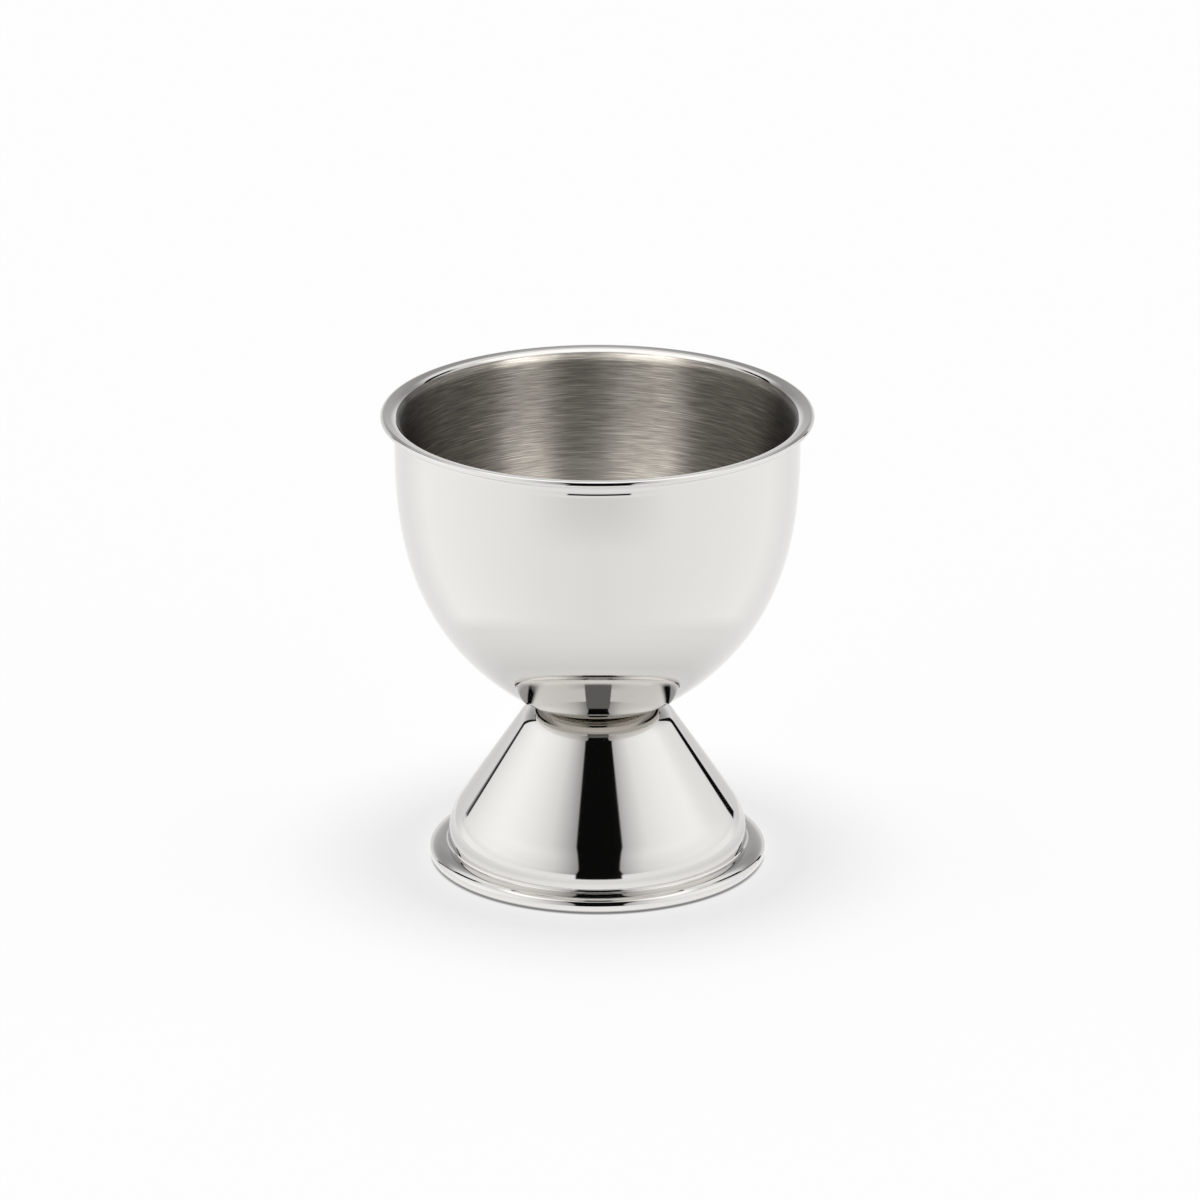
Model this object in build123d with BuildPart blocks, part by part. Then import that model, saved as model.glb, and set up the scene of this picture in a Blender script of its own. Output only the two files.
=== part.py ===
from build123d import *
from math import acos, atan2, cos, degrees, hypot, radians, sin, tan
import os

# Egg cup: a drawn steel bowl spot-welded to a hollow conical foot. Millimetres, +Z up,
# with the origin at the centre of the ring that the foot stands on.

# The seat, where the bowl's flat bottom lies on the foot's flat top
seat_diameter = 10.7
foot_height = 19.2

# Bowl, outside of the sheet
bowl_sheet = 0.7
bowl_height = 35.3
bowl_diameter = 46.85
corner_round = 7.9
corner_sweep = 34.0
wall_height = 0.85
belly_ease = 8.57

# Lip, the mouth of the bowl turned out flat
lip_bend = 1.1
lip_land = 0.475
lip_edge_flat = 0.04

# Foot, outside of the sheet
foot_sheet = 0.6
neck_round = 4.53
band_diameter = 34.9
band_height = 0.18
shoulder_round = 8.0

# Flange round the foot's base, curled under into the ring that it stands on
flange_fillet = 0.35
flange_land = 0.95
flange_bead = 0.95
hem_width = 1.0

# Spot welds between bowl and foot
weld_count = 3
weld_diameter = 2.6
weld_circle = 5.6
weld_depth = 0.3
weld_clearance = 0.02

# Bowl: seat, corner arc, belly curve, upright wall and lip
seat_radius = seat_diameter / 2
wall_radius = bowl_diameter / 2
lip_bend_start = foot_height + bowl_height - bowl_sheet - lip_bend
wall_start = lip_bend_start - wall_height
lip_edge_round = (bowl_sheet - lip_edge_flat) / 2


# One side of the bowl's sheet, from the axis to the lip's edge: an inset of 0 is the outside
def bowl_side(inset):
    floor_line = Line((0, foot_height + inset), (seat_radius, foot_height + inset))
    corner = JernArc(floor_line @ 1, floor_line % 1, corner_round - inset, corner_sweep)
    side_radius = wall_radius - inset
    belly_rise = (side_radius - (corner @ 1).X) * tan(radians(corner_sweep))
    belly = Bezier(
        corner @ 1,
        (side_radius, (corner @ 1).Y + belly_rise),
        (side_radius, wall_start - belly_ease),
        (side_radius, wall_start),
    )
    wall = Line(belly @ 1, (side_radius, lip_bend_start))
    bend = JernArc(wall @ 1, wall % 1, lip_bend + inset, -90)
    land = Line(bend @ 1, bend @ 1 + (lip_land, 0))
    return floor_line @ 0, land @ 1


with BuildPart() as bowl:
    with BuildSketch(Plane.XZ):
        with BuildLine():
            axis_under, edge_under = bowl_side(0)
            axis_over, edge_over = bowl_side(bowl_sheet)
            Line(axis_under, axis_over)
            Line(edge_under, edge_over)
        make_face()
        fillet(vertices().group_by(Axis.X)[-1], lip_edge_round)
    revolve(axis=Axis.Z)
    with BuildSketch(Plane.XY.offset(foot_height)):
        with PolarLocations(weld_circle / 2, weld_count):
            Circle(weld_diameter / 2 + weld_clearance)
    extrude(amount=weld_depth, mode=Mode.SUBTRACT)

# Foot: flat top, neck arc, cone, shoulder arc, band and curled flange, one sheet thick.
# The cone is the line that touches both the neck arc and the shoulder arc.
band_radius = band_diameter / 2
flange_top = 2 * flange_bead
shoulder_end = flange_top + flange_fillet + band_height
neck_centre = Vector(seat_radius, foot_height - neck_round)
shoulder_centre = Vector(band_radius - shoulder_round, shoulder_end)
between = shoulder_centre - neck_centre
touch = acos((neck_round - shoulder_round) / hypot(between.X, between.Y))
cone_facing = atan2(between.Y, between.X) + touch
cone_normal = Vector(cos(cone_facing), sin(cone_facing))
cone_tilt = degrees(cone_facing)

with BuildPart() as foot:
    with BuildSketch(Plane.XZ):
        with BuildLine():
            top = Line((0, foot_height), (seat_radius, foot_height))
            neck = JernArc(top @ 1, top % 1, neck_round, cone_tilt - 90)
            cone = Line(neck @ 1, shoulder_centre + cone_normal * shoulder_round)
            shoulder = JernArc(cone @ 1, cone % 1, shoulder_round, -cone_tilt)
            band = Line(shoulder @ 1, shoulder @ 1 - (0, band_height))
            root = JernArc(band @ 1, band % 1, flange_fillet, 90)
            land = Line(root @ 1, root @ 1 + (flange_land, 0))
            bead = JernArc(land @ 1, land % 1, flange_bead, -180)
            Line(bead @ 1, bead @ 1 - (hem_width, 0))
            offset(amount=foot_sheet, side=Side.RIGHT)
        make_face()
    revolve(axis=Axis.Z)
    with BuildSketch(Plane.XY.offset(foot_height)):
        with PolarLocations(weld_circle / 2, weld_count):
            Circle(weld_diameter / 2 + weld_clearance)
    extrude(amount=-weld_depth, mode=Mode.SUBTRACT)

# Spot welds: discs half in the bowl's sheet and half in the foot's
with BuildPart() as spot_welds:
    with BuildSketch(Plane.XY.offset(foot_height - weld_depth)):
        with PolarLocations(weld_circle / 2, weld_count):
            Circle(weld_diameter / 2)
    extrude(amount=2 * weld_depth)

bowl.part.label = "bowl"
foot.part.label = "foot"
spot_welds.part.label = "spot_welds"

os.makedirs("parts", exist_ok=True)
export_step(bowl.part, "parts/bowl.step")
export_step(foot.part, "parts/foot.step")
export_step(spot_welds.part, "parts/spot_welds.step")
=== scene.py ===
import math

import bmesh
import bpy
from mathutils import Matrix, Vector


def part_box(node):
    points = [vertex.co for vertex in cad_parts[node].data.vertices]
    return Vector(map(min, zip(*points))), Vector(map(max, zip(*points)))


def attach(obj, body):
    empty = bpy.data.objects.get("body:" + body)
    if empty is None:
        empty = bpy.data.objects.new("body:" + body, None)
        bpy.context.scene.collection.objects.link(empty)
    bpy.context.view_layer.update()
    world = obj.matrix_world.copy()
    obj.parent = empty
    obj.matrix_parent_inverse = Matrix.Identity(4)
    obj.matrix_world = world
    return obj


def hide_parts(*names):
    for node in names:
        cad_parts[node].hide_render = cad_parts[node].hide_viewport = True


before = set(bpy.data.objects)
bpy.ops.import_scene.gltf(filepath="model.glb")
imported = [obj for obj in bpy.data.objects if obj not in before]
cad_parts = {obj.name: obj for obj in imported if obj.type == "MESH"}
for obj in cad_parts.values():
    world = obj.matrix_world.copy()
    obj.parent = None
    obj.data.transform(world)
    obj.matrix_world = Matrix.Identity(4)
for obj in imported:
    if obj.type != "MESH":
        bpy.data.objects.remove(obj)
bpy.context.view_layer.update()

mm = 0.001
samePoint = 1e-5         # mm, points nearer than this are one


# Small helpers

def linearColour(hexText):
    channels = [int(hexText[i:i + 2], 16) / 255 for i in (1, 3, 5)]
    return tuple(c / 12.92 if c <= 0.04045 else ((c + 0.055) / 1.055) ** 2.4 for c in channels) + (1.0,)


def greyColour(level):
    return (level, level, level, 1.0)


def addNode(tree, kind, inputs=None, out=0, stops=None, **settings):
    # inputs: sockets by name in a dictionary or in order in a list; stops: a ramp's (place, grey level)
    made = tree.nodes.new("ShaderNode" + kind)
    for name, value in settings.items():
        setattr(made, name, value)
    pairs = inputs.items() if isinstance(inputs, dict) else enumerate(inputs or [])
    for key, value in pairs:
        if isinstance(value, bpy.types.NodeSocket):
            tree.links.new(value, made.inputs[key])
        else:
            made.inputs[key].default_value = value
    for i, (at, level) in enumerate(stops or []):
        marks = made.color_ramp.elements
        mark = marks[i] if i < 2 else marks.new(at)
        mark.position = at
        mark.color = greyColour(level)
    return made.outputs[out] if made.outputs else made


def rampMarks(levels, first, last, full=1.0):
    # a ramp runs from 0 to 1, so places between first and last become shares, and so do levels up to full
    return [((at - first) / (last - first), level / full) for at, level in levels]


def newMaterial(name):
    material = bpy.data.materials.new(name)
    material.use_nodes = True
    material.node_tree.nodes.clear()
    return material, material.node_tree


def arcPoints(centre, radius, start, end, stepDegrees):
    count = max(3, math.ceil(abs(end - start) / stepDegrees))
    angles = [math.radians(start + (end - start) * i / count) for i in range(count + 1)]
    return [(centre[0] + radius * math.cos(a), centre[1] + radius * math.sin(a)) for a in angles]


def bezierPoints(p0, p1, p2, p3, count):
    points = []
    for i in range(count + 1):
        t = i / count
        s = 1 - t
        weights = (s ** 3, 3 * s * s * t, 3 * s * t * t, t ** 3)
        points.append(tuple(sum(w * p[k] for w, p in zip(weights, (p0, p1, p2, p3))) for k in (0, 1)))
    return points


def latheObject(name, stretches, segments):
    # stretches: (points in mm, material index) in order along the sheet's outline, from axis to axis
    mesh = bmesh.new()
    rings = []
    finishes = []
    for points, finish in stretches:
        for radius, height in points:
            if rings and math.dist(rings[-1][1], (radius, height)) < samePoint:
                continue
            turns = range(segments) if radius > samePoint else (0,)
            angles = [2 * math.pi * k / segments for k in turns]
            ring = [mesh.verts.new((radius * mm * math.cos(a), radius * mm * math.sin(a), height * mm))
                    for a in angles]
            if rings:
                finishes.append(finish)
            rings.append((ring, (radius, height)))
    for (low, _), (high, _), finish in zip(rings, rings[1:], finishes):
        for k in range(segments):
            n = (k + 1) % segments
            corners = [low[k % len(low)], low[n % len(low)], high[n % len(high)], high[k % len(high)]]
            face = mesh.faces.new(list(dict.fromkeys(corners)))
            face.material_index = finish
            face.smooth = True
    bmesh.ops.recalc_face_normals(mesh, faces=mesh.faces)
    data = bpy.data.meshes.new(name)
    mesh.to_mesh(data)
    mesh.free()
    made = bpy.data.objects.new(name, data)
    bpy.context.scene.collection.objects.link(made)
    return made


def axisDistance(tree, place):
    flat = addNode(tree, "VectorMath", [place, (1.0, 1.0, 0.0)], operation="MULTIPLY")
    return addNode(tree, "VectorMath", [flat], out="Value", operation="LENGTH")


def ringPlace(tree, place, lineRun, lineWidth):
    # coordinates drawn out round the axis, so that noise in them makes lines round the cup; sizes in mm
    x = addNode(tree, "SeparateXYZ", [place])
    y, z = x.node.outputs["Y"], x.node.outputs["Z"]
    along = addNode(tree, "Math", [z, axisDistance(tree, place)], operation="ADD")
    plain = addNode(tree, "CombineXYZ", [x, y, along])
    scale = (1 / (lineRun * mm), 1 / (lineRun * mm), 1 / (lineWidth * mm))
    return addNode(tree, "VectorMath", [plain, scale], operation="MULTIPLY")


blend = {"out": "Result", "data_type": "RGBA"}       # a Mix node's settings for colours


# Stainless steel, drawn and buffed to a mirror: it shows the room sharply, with a breath of buffing haze
mirrorSteel = {
    "colour": "#dad8d5",
    "edgeTint": "#f8f8f8",        # steel dims a little at a glancing angle
    "roughness": 0.035,
    "haze": 0.03,                 # extra roughness where the buff left a bloom
    "bloomSize": 9.0,             # mm across one patch of bloom
    "bloomShare": (0.35, 0.75),   # noise between these goes from no haze to full haze
    "buffLine": 0.22,             # mm between buffing lines, coarser than real so that they can show
    "buffRun": 14.0,              # mm that a buffing line runs before it fades
    "buffDepth": 0.00012,         # mm
    "paintedShadeColour": "#b2aea7",      # darker, warmer tint on the bowl's lower round above the foot: painted shade where the bowl mirrors the foot and the shaded floor under it
    "paintedShadeReach": (9.9, 9.1),      # mm from the axis, where it starts and where it is full
}


def mirrorPolishedSteel():
    m = mirrorSteel
    material, tree = newMaterial("mirrorPolishedSteel")
    place = addNode(tree, "TexCoord", out="Object")
    buffPlace = ringPlace(tree, place, m["buffRun"], m["buffLine"])
    lines = addNode(tree, "TexNoise", {"Vector": buffPlace, "Scale": 1.0, "Detail": 3.0})
    bump = addNode(tree, "Bump", {"Height": lines, "Strength": 1.0, "Distance": m["buffDepth"] * mm})
    bloom = addNode(tree, "TexNoise", {"Vector": place, "Scale": 1 / (m["bloomSize"] * mm), "Detail": 2.0})
    rough = addNode(tree, "MapRange", [
        bloom, *m["bloomShare"], m["roughness"], m["roughness"] + m["haze"]])
    # painted shade: the bowl's lower round, above the foot's top and near the joint, takes a darker, warmer
    # colour
    starts, isFull = m["paintedShadeReach"]
    nearJoint = addNode(tree, "MapRange", [axisDistance(tree, place), starts * mm, isFull * mm])
    height = addNode(tree, "SeparateXYZ", [place], out="Z")
    onBowl = addNode(tree, "Math", [height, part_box("foot")[1].z], operation="GREATER_THAN")
    paintedShade = addNode(tree, "Math", [nearJoint, onBowl], operation="MULTIPLY")
    colour = addNode(tree, "Mix", {
        "Factor": paintedShade, "A": linearColour(m["colour"]), "B": linearColour(m["paintedShadeColour"])}, **blend)
    steel = addNode(tree, "BsdfPrincipled", {
        "Base Color": colour, "Specular Tint": linearColour(m["edgeTint"]), "Metallic": 1.0,
        "Roughness": rough, "Normal": bump})
    addNode(tree, "OutputMaterial", {"Surface": steel})
    return material


# Stainless steel, brushed round with an abrasive wheel: fine rings that smear what they mirror up and down
# the wall, with a long bright scratch here and there
brushedSteel = {
    # these colours are far darker than the polished steel's: painted shade for the dim inside of the bowl,
    # under the brush lines' own random tone
    "colour": "#86827b",
    "darkColour": "#5f5b56",
    "scratchColour": "#a09c94",
    "roughness": 0.34,
    "anisotropy": 1.0,
    "smearTurn": 0.25,            # of a whole turn, so that the smear crosses the lines
    "line": 0.10,                 # mm across one brush line, coarser than real so that it can show
    "lineRun": 3.0,               # mm that a line runs round the bowl
    "lineDepth": 0.003,           # mm
    "toneShare": (0.35, 0.65),    # noise between these goes from the dark colour to the plain one
    "scratch": 0.12,              # mm across one long scratch
    "scratchRun": 5.5,
    "scratchShare": (0.59, 0.75),     # noise between these turns into a scratch, so that few do
}


def ringBrushedSteel():
    b = brushedSteel
    material, tree = newMaterial("ringBrushedSteel")
    place = addNode(tree, "TexCoord", out="Object")
    linePlace = ringPlace(tree, place, b["lineRun"], b["line"])
    lines = addNode(tree, "TexNoise", {"Vector": linePlace, "Scale": 1.0, "Detail": 4.0, "Roughness": 0.6})
    bump = addNode(tree, "Bump", {"Height": lines, "Strength": 1.0, "Distance": b["lineDepth"] * mm})
    tone = addNode(tree, "MapRange", [lines, *b["toneShare"]])
    # painted shade: the inside's steel is drawn darker than the outside's, and the brush lines vary its tone
    # at random
    colour = addNode(tree, "Mix", {
        "Factor": tone, "A": linearColour(b["darkColour"]), "B": linearColour(b["colour"])}, **blend)
    scratchPlace = ringPlace(tree, place, b["scratchRun"], b["scratch"])
    scratches = addNode(tree, "TexNoise", {"Vector": scratchPlace, "Scale": 1.0, "Detail": 1.0})
    few = addNode(tree, "MapRange", [scratches, *b["scratchShare"]])
    colour = addNode(tree, "Mix", {
        "Factor": few, "A": colour, "B": linearColour(b["scratchColour"])}, **blend)
    around = addNode(tree, "Tangent", direction_type="RADIAL", axis="Z")
    steel = addNode(tree, "BsdfPrincipled", {
        "Base Color": colour, "Metallic": 1.0, "Roughness": b["roughness"], "Anisotropic": b["anisotropy"],
        "Anisotropic Rotation": b["smearTurn"], "Tangent": around, "Normal": bump})
    addNode(tree, "OutputMaterial", {"Surface": steel})
    return material


# Stainless sheet as the press and the pickling bath left it: dull grey and faintly mottled
pressedSteel = {
    "colour": "#aaa7a2",
    "darkColour": "#8d8a86",
    "roughness": 0.42,
    "roughnessSpread": 0.06,      # up and down from that
    "mottle": 1.6,                # mm across one patch
}


def pressedSheetSteel():
    p = pressedSteel
    material, tree = newMaterial("pressedSheetSteel")
    place = addNode(tree, "TexCoord", out="Object")
    mottle = addNode(tree, "TexNoise", {"Vector": place, "Scale": 1 / (p["mottle"] * mm), "Detail": 4.0})
    colour = addNode(tree, "Mix", {
        "Factor": mottle, "A": linearColour(p["darkColour"]), "B": linearColour(p["colour"])}, **blend)
    spread = p["roughnessSpread"]
    rough = addNode(tree, "MapRange", [mottle, 0.0, 1.0, p["roughness"] - spread, p["roughness"] + spread])
    steel = addNode(tree, "BsdfPrincipled", {"Base Color": colour, "Metallic": 1.0, "Roughness": rough})
    addNode(tree, "OutputMaterial", {"Surface": steel})
    return material


polished = mirrorPolishedSteel()
brushed = ringBrushedSteel()
pressed = pressedSheetSteel()
print("steel finishes ready")


# Bowl, in mm as it is drawn: outside up to the lip, over it and down the brushed inside
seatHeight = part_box("foot")[1].z / mm
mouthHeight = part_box("bowl")[1].z / mm
bowlSizes = {
    "sheet": 0.7,
    "seatRadius": 5.35,
    "cornerRound": 7.9,
    "cornerSweep": 34.0,      # degrees
    "wallRadius": 23.425,
    "wallHeight": 0.85,
    "bellyEase": 8.57,        # how far below the wall the belly's curve is drawn upright
    "lipBend": 1.1,
    "lipLand": 0.475,
    "edgeRound": 0.42,        # the lip's outer edge, above and below
    "lowEdgeRound": 0.28,
    "landSlope": 8.0,         # degrees that the lip's top slopes in
    "rollRound": 1.4,         # from the lip's top into the mouth
    "ridgeBelowBend": 0.32,   # the drawing ridge under the lip, to its crest
    "ridgeHalfWidth": 0.24,
    "ridgeHeight": 0.021,
    "brushedUpTo": 48.0,      # degrees of the inner roll that the brush reaches
    "segments": 192,
    "cornerStep": 1.0,        # degrees from point to point on each round
    "bendStep": 3.0,
    "edgeStep": 4.0,
    "lowEdgeStep": 5.0,
    "rollStep": 2.0,
    "bottomSteps": 8,
    "bellySteps": 110,
    "ridgeSteps": 12,         # on each side of its crest
}


def bowlSide(inset):
    b = bowlSizes
    bendStart = mouthHeight - b["sheet"] - b["lipBend"]
    wallStart = bendStart - b["wallHeight"]
    side = b["wallRadius"] - inset
    centre = (b["seatRadius"], seatHeight + b["cornerRound"])
    corner = arcPoints(centre, b["cornerRound"] - inset, -90, b["cornerSweep"] - 90, b["cornerStep"])
    rise = (side - corner[-1][0]) * math.tan(math.radians(b["cornerSweep"]))
    belly = bezierPoints(corner[-1], (side, corner[-1][1] + rise), (side, wallStart - b["bellyEase"]),
                         (side, wallStart), b["bellySteps"])
    bottom = [(corner[0][0] * k / b["bottomSteps"], corner[0][1]) for k in range(b["bottomSteps"])]
    return bottom + corner + belly, (side, bendStart)


def ridgePoints(wall, bendStart):
    b = bowlSizes
    crest = bendStart - b["ridgeBelowBend"]
    shares = [k / b["ridgeSteps"] for k in range(-b["ridgeSteps"], b["ridgeSteps"] + 1)]
    return [(wall + b["ridgeHeight"] * math.cos(math.pi * s / 2) ** 2, crest + s * b["ridgeHalfWidth"])
            for s in shares]


def makeBowl():
    b = bowlSizes
    outside, (wall, bendStart) = bowlSide(0)
    inside, _ = bowlSide(b["sheet"])
    bendCentre = (wall + b["lipBend"], bendStart)
    rim = bendCentre[0] + b["lipLand"]
    underLip = arcPoints(bendCentre, b["lipBend"], 180, 90, b["bendStep"])
    edge, lowEdge, roll = b["edgeRound"], b["lowEdgeRound"], b["rollRound"]
    edgeCentre = (rim - edge, mouthHeight - edge)
    slope = math.radians(b["landSlope"])
    landEnd = 90 + b["landSlope"]
    rollRadius = wall - b["sheet"] + roll
    rise = (edge - roll + (rollRadius - edgeCentre[0]) * math.sin(slope)) / math.cos(slope)
    rollCentre = (rollRadius, edgeCentre[1] + rise)       # so that the sloping land touches both rounds
    brushStart = 180 - b["brushedUpTo"]
    lip = arcPoints((rim - lowEdge, underLip[-1][1] + lowEdge), lowEdge, -90, 0, b["lowEdgeStep"])
    lip += arcPoints(edgeCentre, edge, 0, landEnd, b["edgeStep"])
    lip += arcPoints(rollCentre, roll, landEnd, brushStart, b["rollStep"])
    innerRoll = arcPoints(rollCentre, roll, brushStart, 180, b["rollStep"])
    shell = outside + ridgePoints(wall, bendStart) + underLip + lip
    made = latheObject("egg_bowl", [(shell, 0), (innerRoll + inside[::-1], 1)], b["segments"])
    made.data.materials.append(polished)
    made.data.materials.append(brushed)
    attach(made, "root")
    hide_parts("bowl")
    return made


# Foot: polished outside from the neck down to the hem, dull pressed sheet inside it
footSizes = {
    "sheet": 0.6,
    "seatRadius": 5.35,
    "neckRound": 4.53,
    "bandRadius": 17.45,
    "bandHeight": 0.18,
    "shoulderRound": 8.0,
    "flangeFillet": 0.35,
    "flangeLand": 0.95,
    "bead": 0.95,
    "domeFlat": 0.95,         # the flange's top starts flat and rounds off into the bead
    "domeSide": 0.70,
    "hemWidth": 1.0,
    "segments": 192,
    "roundStep": 1.0,         # degrees from point to point on the neck and the shoulder
    "filletStep": 3.0,
    "beadStep": 2.0,
    "topSteps": 8,
    "coneSteps": 24,
    "domeSteps": 40,
}


def footSide(inset):
    f = footSizes
    landTop = 2 * f["bead"]
    shoulderEnd = landTop + f["flangeFillet"] + f["bandHeight"]
    neckCentre = (f["seatRadius"], seatHeight - f["neckRound"])
    shoulderCentre = (f["bandRadius"] - f["shoulderRound"], shoulderEnd)
    across = shoulderCentre[0] - neckCentre[0]
    down = shoulderCentre[1] - neckCentre[1]
    touch = math.acos((f["neckRound"] - f["shoulderRound"]) / math.hypot(across, down))
    tilt = math.degrees(math.atan2(down, across) + touch)
    neck = arcPoints(neckCentre, f["neckRound"] - inset, 90, tilt, f["roundStep"])
    shoulder = arcPoints(shoulderCentre, f["shoulderRound"] - inset, tilt, 0, f["roundStep"])
    shares = [k / f["coneSteps"] for k in range(1, f["coneSteps"])]
    cone = [tuple(n + (s - n) * share for n, s in zip(neck[-1], shoulder[0])) for share in shares]
    filletCentre = (f["bandRadius"] + f["flangeFillet"], landTop + f["flangeFillet"])
    fillet = arcPoints(filletCentre, f["flangeFillet"] + inset, 180, 270, f["filletStep"])
    beadCentre = (filletCentre[0] + f["flangeLand"], f["bead"])
    outer = beadCentre[0] + f["bead"] - inset
    top = fillet[-1]
    side = f["bead"] + f["domeSide"] - inset
    dome = bezierPoints(top, (top[0] + f["domeFlat"], top[1]), (outer, side), (outer, f["bead"]),
                        f["domeSteps"])
    bead = dome + arcPoints(beadCentre, f["bead"] - inset, 0, -90, f["beadStep"])
    hem = (beadCentre[0] - f["hemWidth"], bead[-1][1])
    topLine = [(neck[0][0] * k / f["topSteps"], neck[0][1]) for k in range(f["topSteps"])]
    return topLine + neck + cone + shoulder + fillet + bead + [hem]


def makeFoot():
    f = footSizes
    outside = footSide(0)
    inside = footSide(f["sheet"])
    made = latheObject("cone_foot", [(outside, 0), (inside[::-1], 1)], f["segments"])
    made.data.materials.append(polished)
    made.data.materials.append(pressed)
    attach(made, "root")
    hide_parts("foot")
    return made


bowl = makeBowl()
foot = makeFoot()
print("bowl and foot turned:", len(bowl.data.vertices), len(foot.data.vertices), "points")

# Spot welds stay as they are, between the two sheets
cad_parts["spot_welds"].data.materials.clear()
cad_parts["spot_welds"].data.materials.append(pressed)


# Studio: a light tent as the steel mirrors it, given by direction. Turns are in degrees from the camera's
# side, with the picture's left positive, and heights in degrees above the table. A pair of turns or heights
# without a note of its own is where an edge starts and where it is full, and a range is what the list above
# it runs over.
tent = {
    "full": 2.0,                      # ramps hold levels as shares of this, because their colours stop at 1
    "black": 0.004,                   # level of the slits and of the gap's foot
    "panels": [                       # (share of the way to the left, level), with the camera's black gap
        (-1.0, 1.17), (-0.94, 1.12), (-0.77, 1.04), (-0.57, 0.92), (-0.38, 0.64), (-0.298, 0.50),
        (-0.284, 0.004), (0.238, 0.004), (0.252, 0.38), (0.38, 0.60), (0.53, 0.84), (0.71, 1.00),
        (0.91, 1.15), (1.0, 1.25)],
    "panelsRange": (-1.0, 1.0),
    "gapFlare": (8.0, 0.87),          # below this height the gap widens, as shares shrink to this
    "lift": (1.12, 0.81),             # times the panels' level higher up, and at the right one's rear
    "liftRise": (12.0, 28.0),
    "liftTurn": (-100.0, -132.0),
    "overhead": 1.44,                 # level of the bank overhead
    "overheadFrom": (55.0, 60.0),
    "overheadEdge": (0.30, 0.06),     # how far it comes to the front, as a share
    "slitTurn": (133.95, 129.3),      # the panels' rear edge, low and further up, where a dark slit starts
    "slitLean": (2.25, 0.3),          # the left one stands this much nearer, and the right one farther
    "slitRise": (11.0, 28.0),         # the heights that those pairs are for
    "slitSides": (-1.0, 1.0),         # turns between what holds for the right and for the left
    "slitWidth": (6.8, 5.0),          # degrees across its foot, right and left
    "slitMiddle": 4.4,                # across it further up
    "slitSpread": 15.0,               # across it near its top
    "slitSpreadRise": (32.0, 38.0),
    "slitSoft": (-0.4, 0.4),          # how sharp its edges are
    "slitFoot": (-2.0, 6.8),          # height of its lower end, right and left
    "slitFootSoft": (-1.5, 1.5),
    "slitTop": (50.0, 46.0),
    "back": [                         # (height, level) of the wall behind the slits
        (-6, 0.86), (2, 0.88), (7, 0.93), (12, 0.78), (17, 0.57), (26, 0.38), (31, 0.40), (34, 0.56),
        (38, 1.00), (46, 1.10), (50, 0.95), (53, 0.95), (58, 1.40)],
    "backRange": (-10.0, 60.0),
    "backSoft": (-0.5, 0.5),
    "table": [                        # (turn, level) below the table's edge
        (-180, 1.00), (-140, 1.05), (-115, 1.16), (-90, 1.12), (-60, 1.08), (-30, 1.04), (0, 1.01),
        (30, 1.04), (60, 1.10), (90, 1.16), (115, 1.20), (140, 1.05), (180, 1.00)],
    "tableRange": (-180.0, 180.0),
    "tableEdge": (0.6, -0.6),
    "rearTable": 0.84,                # level where the table falls off to the back
    "rearTurn": (125.0, 145.0),
    "rearHeight": (-18.0, -9.0),
    "gapRight": (-19.0, -17.8),       # the gap's sides on the table and in light mirrored again
    "gapLeft": (17.0, 15.8),
    "gapFoot": [(-27, 0.0), (-19, 0.14), (-16, 0.30), (-10, 1.0)],      # (height, darkness) there
    "gapFootRange": (-30.0, 0.0),
    "gapSoft": (48.0, 6.0),           # low on the table the gap fades over these turns instead
    "gapSharp": (-16.0, -12.0),       # heights from the soft sides to the sharp ones
    "greyStrip": 0.20,                # level of a strip in the gap, in light mirrored twice
    "greyStripLow": (-18.0, -16.0),
    "greyStripTop": (9.0, 8.0),
    "thriceGap": 0.8,                 # level high in the gap, in light mirrored three times or more
    "thriceRise": (18.0, 22.0),
    "twiceFoot": (120.0, -18.25, 0.346),      # turn, height and rise of the slits' foot, mirrored twice
    "twiceLean": 9.4,
    "twiceSlit": [                    # (height above that foot, darkness)
        (-19, 0.5), (-5, 0.55), (-3, 1.0), (4.5, 1.0), (7, 0.6), (9, 0.2), (11.5, 0.0)],
    "twiceSlitRange": (-20.0, 20.0),
    "twiceFade": (70.0, 103.0),
    "twiceTop": (6.0, 2.0),
}


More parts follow.
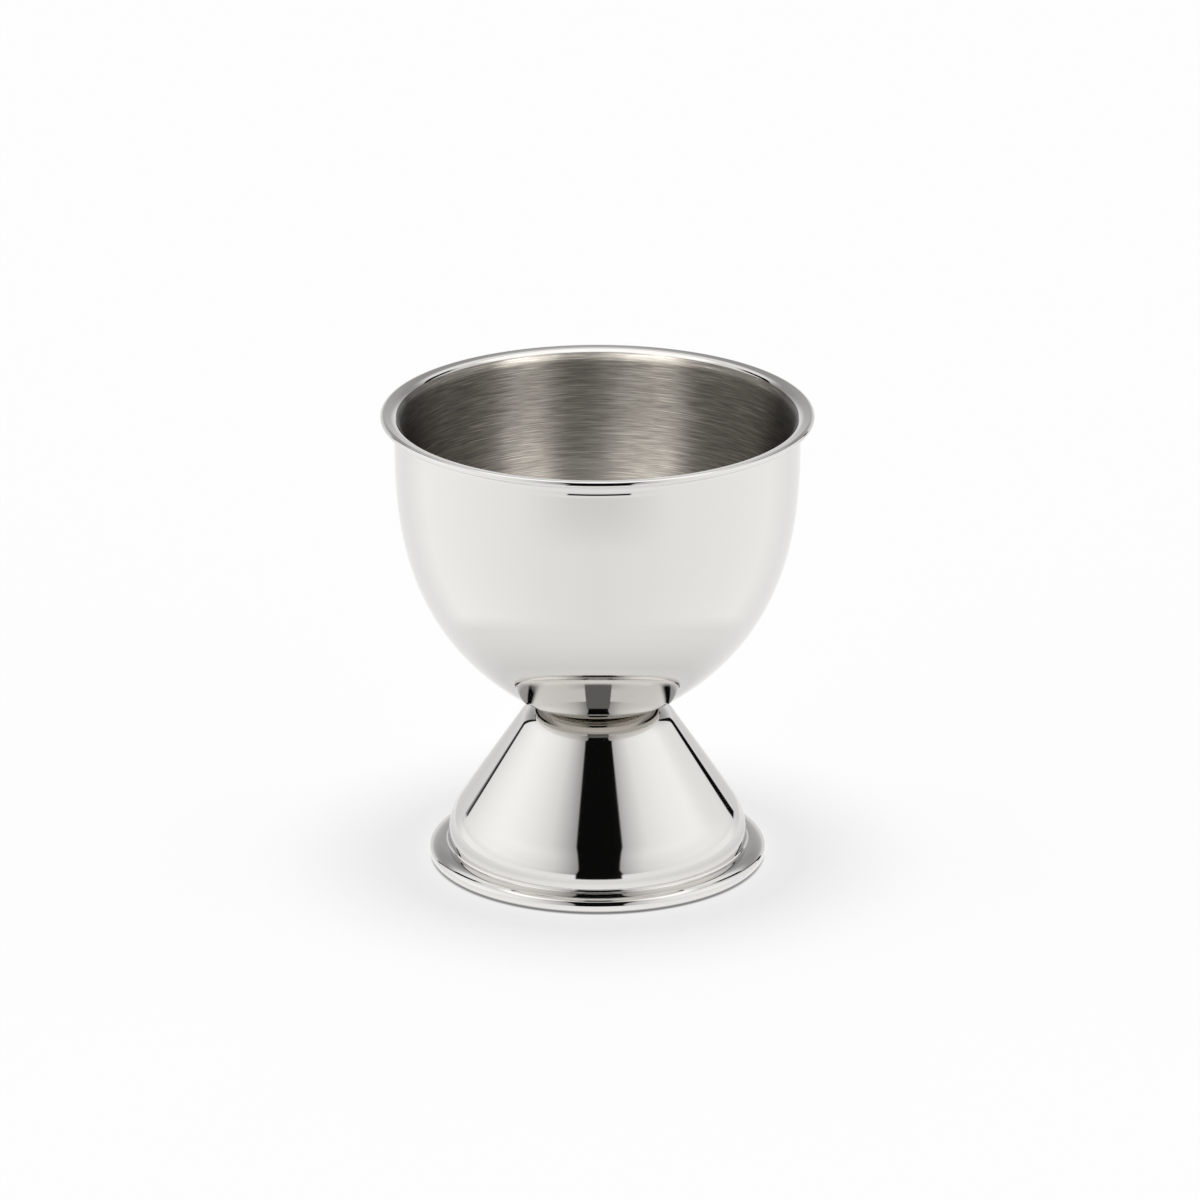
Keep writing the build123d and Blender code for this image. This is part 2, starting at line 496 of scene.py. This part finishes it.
def makeTent():
    t = tent
    world = bpy.data.worlds.new("lightTent")
    bpy.context.scene.world = world
    world.use_nodes = True
    world.cycles.sampling_method = "NONE"       # the rays find it by themselves
    tree = world.node_tree
    tree.nodes.clear()
    full = t["full"]
    black = greyColour(t["black"] / full)

    # direction, and how often the steel has mirrored it
    right = addNode(tree, "SeparateXYZ", [addNode(tree, "TexCoord", out="Generated")])
    left = addNode(tree, "Math", [right, -1.0], operation="MULTIPLY")
    front = addNode(tree, "Math", [right.node.outputs["Y"], -1.0], operation="MULTIPLY")
    height = addNode(tree, "Math", [right.node.outputs["Z"]], operation="ARCSINE")
    height = addNode(tree, "Math", [height], operation="DEGREES")
    turn = addNode(tree, "Math", [left, front], operation="ARCTAN2")
    turn = addNode(tree, "Math", [turn], operation="DEGREES")
    aside = addNode(tree, "Math", [turn], operation="ABSOLUTE")
    path = addNode(tree, "LightPath", out="Is Camera Ray")
    mirrorings = path.node.outputs["Glossy Depth"]
    twice = addNode(tree, "Math", [mirrorings, 2.0, 0.5], operation="COMPARE")
    thrice = addNode(tree, "Math", [mirrorings, 2.5], operation="GREATER_THAN")

    # side panels
    flare = addNode(tree, "MapRange", [height, 0.0, *t["gapFlare"], 1.0])
    across = addNode(tree, "Math", [left, flare], operation="MULTIPLY")
    across = addNode(tree, "MapRange", [across, *t["panelsRange"]])
    light = addNode(tree, "ValToRGB", [across], stops=rampMarks(t["panels"], *t["panelsRange"], full))
    lift = addNode(tree, "MapRange", [turn, *t["liftTurn"], *t["lift"]])
    lifted = addNode(tree, "MapRange", [height, *t["liftRise"]])
    lift = addNode(tree, "Mix", {"Factor": lifted, "A": 1.0, "B": lift})
    light = addNode(tree, "Mix", {"Factor": 1.0, "A": light, "B": lift}, blend_type="MULTIPLY", **blend)

    # the wall behind, and the dark slit between it and the panels
    lean = addNode(tree, "MapRange", [height, *t["slitRise"], *t["slitLean"]])
    leaning = addNode(tree, "Math", [turn, lean], operation="ADD")
    leaning = addNode(tree, "Math", [leaning], operation="ABSOLUTE")
    rearEdge = addNode(tree, "MapRange", [height, *t["slitRise"], *t["slitTurn"]])
    past = addNode(tree, "Math", [leaning, rearEdge], operation="SUBTRACT")
    behind = addNode(tree, "MapRange", [past, *t["backSoft"]])
    up = addNode(tree, "MapRange", [height, *t["backRange"]])
    back = addNode(tree, "ValToRGB", [up], stops=rampMarks(t["back"], *t["backRange"], full))
    light = addNode(tree, "Mix", {"Factor": behind, "A": light, "B": back}, **blend)
    risen = addNode(tree, "MapRange", [height, *t["slitRise"]])
    width = addNode(tree, "MapRange", [turn, *t["slitSides"], *t["slitWidth"]])
    width = addNode(tree, "Mix", {"Factor": risen, "A": width, "B": t["slitMiddle"]})
    spread = addNode(tree, "MapRange", [height, *t["slitSpreadRise"]])
    width = addNode(tree, "Mix", {"Factor": spread, "A": width, "B": t["slitSpread"]})
    beyond = addNode(tree, "Math", [past, width], operation="SUBTRACT")
    slitFoot = addNode(tree, "MapRange", [turn, *t["slitSides"], *t["slitFoot"]])
    above = addNode(tree, "Math", [height, slitFoot], operation="SUBTRACT")
    slit = addNode(tree, "MapRange", [past, *t["slitSoft"]])
    for limit in (
            addNode(tree, "MapRange", [beyond, *t["slitSoft"][::-1]]),
            addNode(tree, "MapRange", [above, *t["slitFootSoft"]]),
            addNode(tree, "MapRange", [height, *t["slitTop"]])):
        slit = addNode(tree, "Math", [slit, limit], operation="MULTIPLY")
    light = addNode(tree, "Mix", {"Factor": slit, "A": light, "B": black}, **blend)

    # overhead bank
    forward = addNode(tree, "MapRange", [front, *t["overheadEdge"]])
    high = addNode(tree, "MapRange", [height, *t["overheadFrom"]])
    bank = addNode(tree, "Math", [forward, high], operation="MULTIPLY")
    overhead = greyColour(t["overhead"] / full)
    light = addNode(tree, "Mix", {"Factor": bank, "A": light, "B": overhead}, **blend)

    # the table beyond the floor sheet, falling off behind, and the gap's dark foot in it
    around = addNode(tree, "MapRange", [turn, *t["tableRange"]])
    table = addNode(tree, "ValToRGB", [around], stops=rampMarks(t["table"], *t["tableRange"], full))
    rear = addNode(tree, "MapRange", [aside, *t["rearTurn"]])
    far = addNode(tree, "MapRange", [height, *t["rearHeight"]])
    fallOff = addNode(tree, "Math", [rear, far], operation="MULTIPLY")
    rearTable = greyColour(t["rearTable"] / full)
    table = addNode(tree, "Mix", {"Factor": fallOff, "A": table, "B": rearTable}, **blend)
    gapRight = addNode(tree, "MapRange", [turn, *t["gapRight"]])
    gapLeft = addNode(tree, "MapRange", [turn, *t["gapLeft"]])
    gap = addNode(tree, "Math", [gapRight, gapLeft], operation="MULTIPLY")
    softGap = addNode(tree, "MapRange", [aside, *t["gapSoft"]], interpolation_type="SMOOTHSTEP")
    sharp = addNode(tree, "MapRange", [height, *t["gapSharp"]])
    gapFoot = addNode(tree, "Mix", {"Factor": sharp, "A": softGap, "B": gap})
    up = addNode(tree, "MapRange", [height, *t["gapFootRange"]])
    darkness = addNode(tree, "ValToRGB", [up], stops=rampMarks(t["gapFoot"], *t["gapFootRange"]))
    gapFoot = addNode(tree, "Math", [gapFoot, darkness], operation="MULTIPLY")
    table = addNode(tree, "Mix", {"Factor": gapFoot, "A": table, "B": black}, **blend)
    below = addNode(tree, "MapRange", [height, *t["tableEdge"]])
    light = addNode(tree, "Mix", {"Factor": below, "A": light, "B": table}, **blend)

    # light mirrored again between bowl and foot: a grey strip and a fill in the gap, and the slits' dark feet
    strip = addNode(tree, "MapRange", [height, *t["greyStripLow"]])
    for limit in (addNode(tree, "MapRange", [height, *t["greyStripTop"]]), gap, twice):
        strip = addNode(tree, "Math", [strip, limit], operation="MULTIPLY")
    greyStrip = greyColour(t["greyStrip"] / full)
    light = addNode(tree, "Mix", {"Factor": strip, "A": light, "B": greyStrip}, **blend)
    fill = addNode(tree, "MapRange", [height, *t["thriceRise"]])
    for limit in (gap, thrice):
        fill = addNode(tree, "Math", [fill, limit], operation="MULTIPLY")
    thriceGap = greyColour(t["thriceGap"] / full)
    light = addNode(tree, "Mix", {"Factor": fill, "A": light, "B": thriceGap}, **blend)
    footTurn, footHeight, footRise = t["twiceFoot"]
    leaning = addNode(tree, "Math", [turn, t["twiceLean"]], operation="ADD")
    leaning = addNode(tree, "Math", [leaning], operation="ABSOLUTE")
    atFront = footHeight - footTurn * footRise
    line = addNode(tree, "Math", [leaning, footRise, atFront], operation="MULTIPLY_ADD")
    above = addNode(tree, "Math", [height, line], operation="SUBTRACT")
    above = addNode(tree, "MapRange", [above, *t["twiceSlitRange"]])
    dark = addNode(tree, "ValToRGB", [above], stops=rampMarks(t["twiceSlit"], *t["twiceSlitRange"]))
    for limit in (
            twice,
            addNode(tree, "MapRange", [aside, *t["twiceFade"]]),
            addNode(tree, "MapRange", [height, *t["twiceTop"]])):
        dark = addNode(tree, "Math", [dark, limit], operation="MULTIPLY")
    light = addNode(tree, "Mix", {"Factor": dark, "A": light, "B": black}, **blend)

    # the camera itself sees plain white
    mirrored = addNode(tree, "Background", {"Color": light, "Strength": full})
    seen = addNode(tree, "Background", {"Color": greyColour(1.0), "Strength": 1.0})
    shown = addNode(tree, "MixShader", [path, mirrored, seen])
    addNode(tree, "OutputWorld", {"Surface": shown})


# Two rows of lamps over the panels: the low one stripes the bowl's brushed wall, the high one lights its
# brushed edge behind the lip. A flag with a round hole over the mouth keeps them off the polished lip and
# the outside.
stripLamps = {
    "away": 500.0,            # mm from the bowl's mouth
    "step": 6.0,              # degrees from lamp to lamp
    "rows": [
        {
            "height": 40.0,   # degrees above the mouth
            "tall": 400.0,    # mm
            "levels": [       # (turn, radiance)
                (-138, 0.0), (-126, 0.6), (-110, 1.2), (-98, 1.2), (-87, 0.8), (-78, 0.1), (-72, 0.3),
                (-66, 2.8), (-58, 10.3), (-54, 11.7), (-43, 8.9), (-34, 8.6), (-29, 2.6), (-16, 2.7),
                (-7, 3.8), (2, 4.5), (11, 6.3), (20, 9.0), (29, 10.3), (38, 10.4), (50, 11.9), (57, 5.8),
                (64, 0.3), (72, 0.1), (80, 0.3), (92, 1.2), (108, 1.8), (120, 1.0), (132, 0.0)],
        },
        {
            "height": 66.0,
            "tall": 180.0,
            "levels": [
                (-150, 0.0), (-125, 4.0), (-95, 4.2), (-74, 2.6), (-50, 0.0), (50, 0.0), (72, 2.6),
                (95, 4.4), (125, 4.4), (150, 0.0)],
        },
    ],
}
flagSizes = {
    "hole": 22.7,             # mm, radius of the hole
    "reach": 120.0,           # mm, radius of the flag
    "above": 0.3,             # mm over the lip
    "corners": 72,
}


def makeFlag():
    f = flagSizes
    n = f["corners"]
    turns = [2 * math.pi * k / n for k in range(n)]
    height = (mouthHeight + f["above"]) * mm
    points = []
    for radius in (f["hole"], f["reach"]):
        points += [(radius * mm * math.cos(a), radius * mm * math.sin(a), height) for a in turns]
    mesh = bpy.data.meshes.new("lampFlag")
    mesh.from_pydata(points, [], [(k, (k + 1) % n, n + (k + 1) % n, n + k) for k in range(n)])
    flag = bpy.data.objects.new("lampFlag", mesh)
    bpy.context.scene.collection.objects.link(flag)
    flag.visible_camera = False
    flag.visible_diffuse = False
    flag.visible_glossy = False
    flag.visible_transmission = False
    return flag


def makeStripLamps():
    lit = bpy.data.collections.new("litByStrips")
    lit.objects.link(bowl)
    shading = bpy.data.collections.new("shadesStrips")
    shading.objects.link(makeFlag())
    mouth = Vector((0, 0, mouthHeight)) * mm
    away = stripLamps["away"] * mm
    step = stripLamps["step"]
    for row in stripLamps["rows"]:
        levels = row["levels"]
        rise = math.radians(row["height"])
        first, last = levels[0][0], levels[-1][0]
        for k in range(int((last - first) / step)):
            turn = first + (k + 0.5) * step
            (a, low), (b, high) = next(pair for pair in zip(levels, levels[1:]) if pair[1][0] >= turn)
            radiance = low + (high - low) * (turn - a) / (b - a)
            if radiance == 0:
                continue
            lamp = bpy.data.lights.new("stripLamp", "AREA")
            lamp.shape = "RECTANGLE"
            lamp.size = away * math.cos(rise) * math.radians(step)
            lamp.size_y = row["tall"] * mm
            lamp.energy = radiance * math.pi * lamp.size * lamp.size_y
            lamp.cycles.use_multiple_importance_sampling = False
            angle = math.radians(turn)
            flat = math.cos(rise)
            out = Vector((-math.sin(angle) * flat, -math.cos(angle) * flat, math.sin(rise)))
            holder = bpy.data.objects.new("stripLamp", lamp)
            holder.location = mouth + out * away
            holder.rotation_euler = (-out).to_track_quat("-Z", "Y").to_euler()
            holder.visible_camera = False
            holder.light_linking.receiver_collection = lit
            holder.light_linking.blocker_collection = shading
            bpy.context.scene.collection.objects.link(holder)


# Floor: a sheet of frosted white acrylic lit from below, so that it stays white and shadows are short and
# faint. Sizes are in mm from the axis where nothing else is said.
floorSizes = {
    "reach": 4.0,                     # metres
    "colour": "#7c7c7c",
    "glowAndPaintedShadow": [                         # (mm from the axis, level) of the light from below, dimmed to a painted contact shadow at the foot's edge and raised to a painted bright rim just outside it
        (18.6, 0.02), (19.25, 0.20), (19.65, 0.64), (21.5, 0.58), (24.0, 0.54)],
    "glowMargin": 1.0,                # the ramp runs on this far at both ends
    "mirroredOnce": (1.06, 1.45),     # times as strong in the steel, and where the steel is close above it
    "near": (14.0, 8.0),              # mm from the steel, for those two
    "mirroredTwice": (1.6, 0.45),     # the same in light mirrored twice or more, in front and at the sides
    "twiceTurn": (60.0, 98.0),        # degrees from the front to the sides
    "twiceAway": (28.0, 32.0),        # where the sides start to be darker, and where they are
    "edge": 46.0,                     # past this the steel mirrors the tent's table instead
    "edgeTwice": (39.0, 26.0),        # the same in light mirrored twice, in front and at the sides
    "edgeFade": 8.0,
    "hole": 18.6,                     # radius of the clear round under the foot, to show its inside
}


def frostedWhiteAcrylic():
    f = floorSizes
    material, tree = newMaterial("frostedWhiteAcrylic")
    place = addNode(tree, "TexCoord", out="Object")
    away = addNode(tree, "Math", [axisDistance(tree, place), mm], operation="DIVIDE")
    x = addNode(tree, "SeparateXYZ", [place])
    front = addNode(tree, "Math", [x.node.outputs["Y"], -1.0], operation="MULTIPLY")
    turn = addNode(tree, "Math", [x, front], operation="ARCTAN2")
    turn = addNode(tree, "Math", [turn], operation="DEGREES")
    turn = addNode(tree, "Math", [turn], operation="ABSOLUTE")
    atSide = addNode(tree, "MapRange", [turn, *f["twiceTurn"]])
    path = addNode(tree, "LightPath", out="Is Glossy Ray")
    fromSteel = addNode(tree, "Math", [path.node.outputs["Ray Length"], mm], operation="DIVIDE")
    again = addNode(tree, "Math", [path.node.outputs["Glossy Depth"], 1.5], operation="GREATER_THAN")

    # light from below, as the camera sees it and as the steel mirrors it
    # the ramp is the light from below, with a painted contact shadow under the foot's edge and a painted
    # brighter rim just outside it
    first = f["glowAndPaintedShadow"][0][0] - f["glowMargin"]
    last = f["glowAndPaintedShadow"][-1][0] + f["glowMargin"]
    along = addNode(tree, "MapRange", [away, first, last])
    glowAndPaintedShadow = addNode(tree, "ValToRGB", [along], stops=rampMarks(f["glowAndPaintedShadow"], first, last))
    near = addNode(tree, "MapRange", [fromSteel, *f["near"], *f["mirroredOnce"]])
    once = addNode(tree, "Mix", {"Factor": path, "A": 1.0, "B": near})
    farther = addNode(tree, "MapRange", [away, *f["twiceAway"]])
    darker = addNode(tree, "Math", [atSide, farther], operation="MULTIPLY")
    twice = addNode(tree, "MapRange", [darker, 0.0, 1.0, *f["mirroredTwice"]])
    times = addNode(tree, "Mix", {"Factor": again, "A": once, "B": twice})
    strength = addNode(tree, "Math", [glowAndPaintedShadow, times], operation="MULTIPLY")
    sheet = addNode(tree, "BsdfDiffuse", {"Color": linearColour(f["colour"])})
    glowing = addNode(tree, "Emission", {"Color": greyColour(1.0), "Strength": strength})
    lit = addNode(tree, "AddShader", [sheet, glowing])

    # clear under the foot, from below, and where the steel mirrors the tent's table
    edgeTwice = addNode(tree, "MapRange", [atSide, 0.0, 1.0, *f["edgeTwice"]])
    edge = addNode(tree, "Mix", {"Factor": again, "A": f["edge"], "B": edgeTwice})
    past = addNode(tree, "Math", [away, edge], operation="SUBTRACT")
    past = addNode(tree, "MapRange", [past, -f["edgeFade"] / 2, f["edgeFade"] / 2])
    beyond = addNode(tree, "Math", [past, path], operation="MULTIPLY")
    underFoot = addNode(tree, "Math", [away, f["hole"]], operation="LESS_THAN")
    fromBelow = addNode(tree, "NewGeometry", out="Backfacing")
    clear = addNode(tree, "Math", [underFoot, fromBelow], operation="MAXIMUM")
    clear = addNode(tree, "Math", [clear, beyond], operation="MAXIMUM")
    surface = addNode(tree, "MixShader", [clear, lit, addNode(tree, "BsdfTransparent")])
    addNode(tree, "OutputMaterial", {"Surface": surface})
    return material


def makeFloor():
    mesh = bpy.data.meshes.new("floorSheet")
    r = floorSizes["reach"]
    mesh.from_pydata([(-r, -r, 0), (r, -r, 0), (r, r, 0), (-r, r, 0)], [], [(0, 1, 2, 3)])
    mesh.materials.append(frostedWhiteAcrylic())
    floor = bpy.data.objects.new("floorSheet", mesh)
    bpy.context.scene.collection.objects.link(floor)


# A broad lamp overhead gives the floor the cup's soft shadow, and the steel doesn't mirror it
overheadSizes = {
    "strength": 4.2,
    "spread": 32.0,           # degrees across
}


def makeOverheadLamp():
    lamp = bpy.data.lights.new("overheadLamp", "SUN")
    lamp.energy = overheadSizes["strength"]
    lamp.angle = math.radians(overheadSizes["spread"])
    holder = bpy.data.objects.new("overheadLamp", lamp)
    holder.visible_glossy = False
    shading = bpy.data.collections.new("shadesFloor")
    shading.objects.link(bowl)
    shading.objects.link(foot)
    holder.light_linking.blocker_collection = shading
    bpy.context.scene.collection.objects.link(holder)


makeTent()
makeStripLamps()
makeFloor()
makeOverheadLamp()
print("studio set")


# Camera, on the photograph's line of sight
cameraSizes = {
    "distance": 1000.0,       # mm, to the point it aims at
    "elevation": 19.91,       # degrees
    "lens": 258.63,           # mm, on a sensor this wide
    "sensor": 36.0,
    "aimHeight": 31.46,       # mm
    "aimRight": 0.30,
    "sightEnd": 20.0,         # metres
}


def makeCamera():
    c = cameraSizes
    data = bpy.data.cameras.new("camera")
    data.lens = c["lens"]
    data.sensor_width = c["sensor"]
    data.clip_end = c["sightEnd"]
    camera = bpy.data.objects.new("camera", data)
    bpy.context.scene.collection.objects.link(camera)
    e = math.radians(c["elevation"])
    back = Vector((0, -math.cos(e), math.sin(e)))
    camera.location = Vector((c["aimRight"], 0, c["aimHeight"])) * mm + back * c["distance"] * mm
    camera.rotation_euler = (-back).to_track_quat("-Z", "Y").to_euler()
    bpy.context.scene.camera = camera


makeCamera()
bpy.context.scene.view_settings.view_transform = "Standard"
print("camera set")
